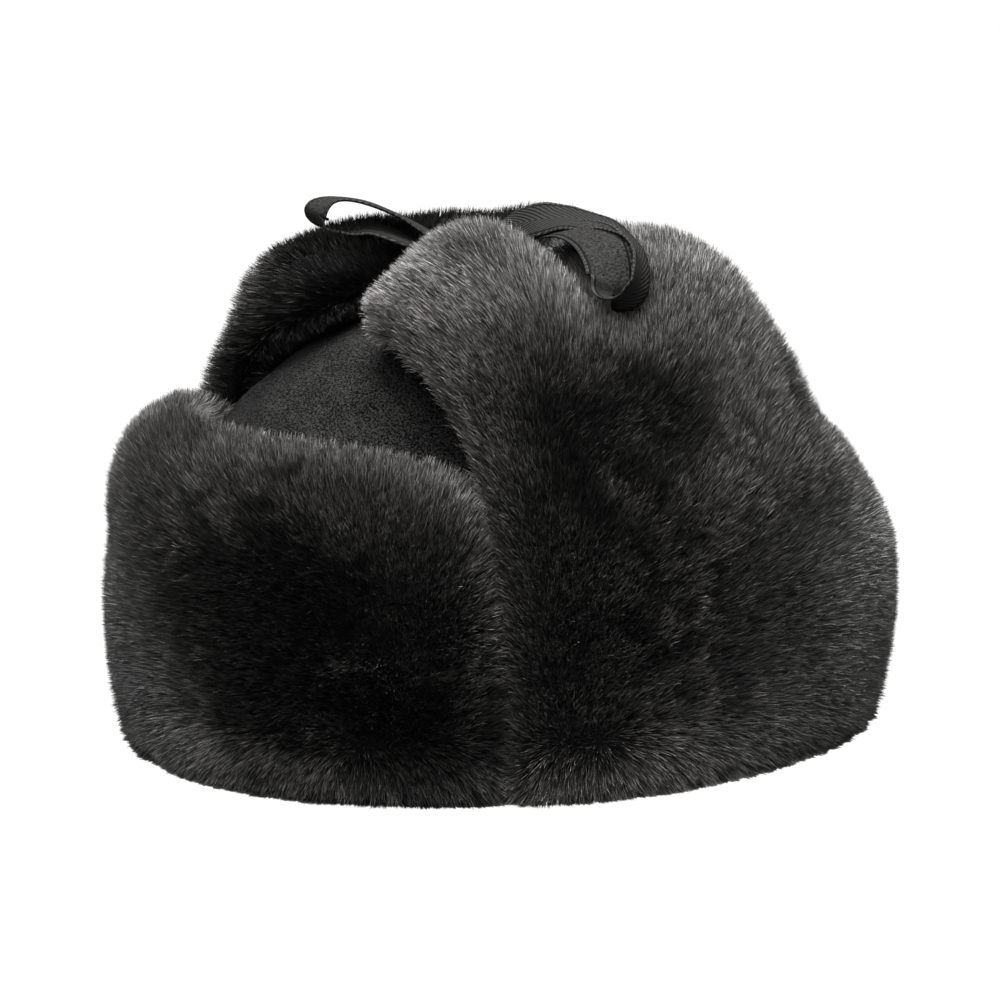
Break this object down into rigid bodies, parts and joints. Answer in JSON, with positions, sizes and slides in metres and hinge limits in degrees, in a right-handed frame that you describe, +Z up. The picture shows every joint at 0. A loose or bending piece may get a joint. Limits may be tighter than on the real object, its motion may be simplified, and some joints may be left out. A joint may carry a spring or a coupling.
{
  "type": "ushanka",
  "caption": "Fur hat with a turned-up front flap and ear flaps folded over a wool crown and tied on top with a tape bow.",
  "frame": {"origin": "on the floor under the middle of the hat's box, at the hem", "axes": "+Z up, -Y to the front of the hat, +X to the wearer's left"},
  "size_m": [0.2404, 0.2774, 0.1747],
  "materials": {
    "fur": "deep pile, near black",
    "wool_cloth": "matt brushed wool, charcoal",
    "tape": "herringbone twill tape, black"
  },
  "bodies": {
    "root": {"crown": "wool_cloth", "front_flap": "fur", "ear_flap_left": "fur", "ear_flap_right": "fur", "tie_tape_left": "tape", "tie_tape_right": "tape"}
  },
  "joints": []
}
